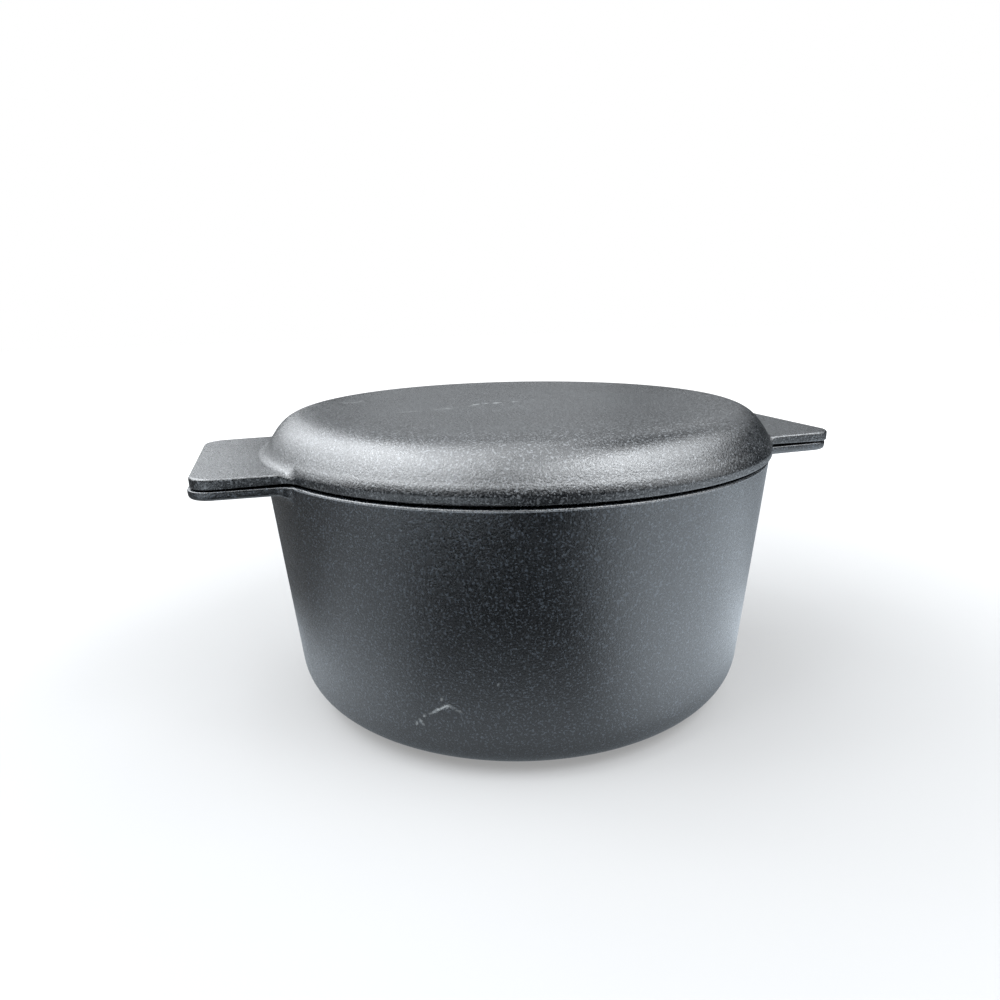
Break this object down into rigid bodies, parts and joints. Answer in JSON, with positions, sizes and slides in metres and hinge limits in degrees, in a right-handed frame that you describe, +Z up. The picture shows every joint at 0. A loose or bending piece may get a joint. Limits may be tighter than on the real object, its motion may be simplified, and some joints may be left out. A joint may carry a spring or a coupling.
{
  "type": "dutch oven",
  "caption": "Round cast iron cooking pot with a tapered wall and a low domed lift-off lid; flat tab handles on pot and lid lie over each other so both are gripped together.",
  "frame": {"origin": "centre of the pot's flat base, on the surface it stands on", "axes": "+X along the two tab handles, +Z up out of the pot"},
  "size_m": [0.2999, 0.241, 0.1385],
  "materials": {
    "pot_iron": "matt black, fine cast grain",
    "lid_iron": "matt black, fine cast grain"
  },
  "bodies": {
    "pot": {"pot": "pot_iron"},
    "lid": {"lid": "lid_iron"}
  },
  "joints": [
    {"name": "lid_lift", "type": "slide", "parent": "pot", "child": "lid", "axis": [0, 0, 1], "range_m": [0, 0.15]}
  ]
}
